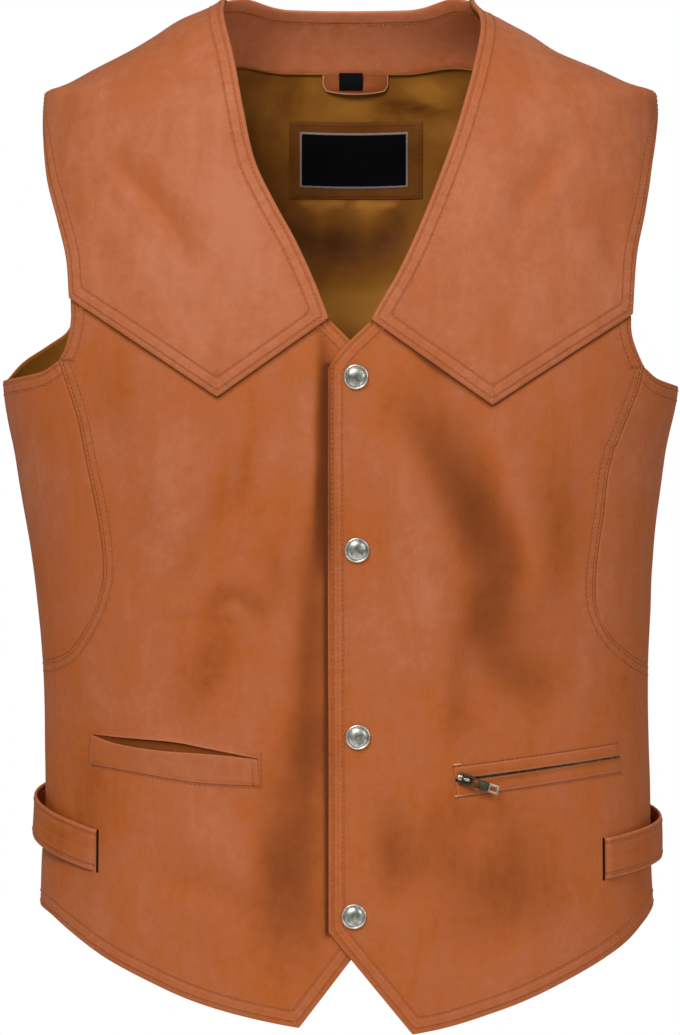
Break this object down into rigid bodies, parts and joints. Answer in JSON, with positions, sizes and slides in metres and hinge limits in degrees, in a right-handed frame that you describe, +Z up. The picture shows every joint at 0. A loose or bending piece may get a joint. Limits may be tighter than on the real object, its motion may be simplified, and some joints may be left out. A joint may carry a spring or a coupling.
{
  "type": "leather vest",
  "caption": "Hollow men's leather waistcoat in western cut, filled out as worn, with pointed yokes, snap front, welt pocket, zip pocket and side straps.",
  "frame": {"origin": "midway between the shoulders at the height of the middle of the shoulder seams, where the wearer holds the garment", "axes": "+Z up, -Y out of the front, +X towards the wearer's left"},
  "size_m": [0.4184, 0.2324, 0.6341],
  "materials": {
    "leather": "smooth tan nappa leather, waxed, mottled",
    "lining": "mustard satin",
    "label": "black woven label, bare",
    "tape": "woven zip tape",
    "zip_metal": "dark antique brass",
    "snap_metal": "antique nickel, worn"
  },
  "bodies": {
    "vest": {"front_body_right": "leather", "front_body_left": "leather", "front_yoke_right": "leather", "front_yoke_left": "leather", "side_panel_right": "leather", "side_panel_left": "leather", "back_right": "leather", "back_left": "leather", "neck_facing": "leather", "back_lining": "lining", "label_patch": "leather", "woven_label": "label", "hanger_loop": "leather", "size_tab": "label", "pocket_welt_right": "leather", "zip_welt_upper": "leather", "zip_welt_lower": "leather", "zip_tape": "tape", "zip_slider": "zip_metal", "snap_cap_1": "snap_metal", "snap_cap_2": "snap_metal", "snap_cap_3": "snap_metal", "snap_cap_4": "snap_metal", "side_strap_right": "leather", "side_strap_left": "leather"},
    "pull": {"zip_pull": "zip_metal"}
  },
  "joints": [
    {"name": "zip_pull_flip", "type": "hinge", "parent": "vest", "child": "pull", "pos_m": [0.07094, -0.11439, -0.44739], "axis": [-0.3165, -0.0794, -0.9453], "range_deg": [0, 150]}
  ]
}
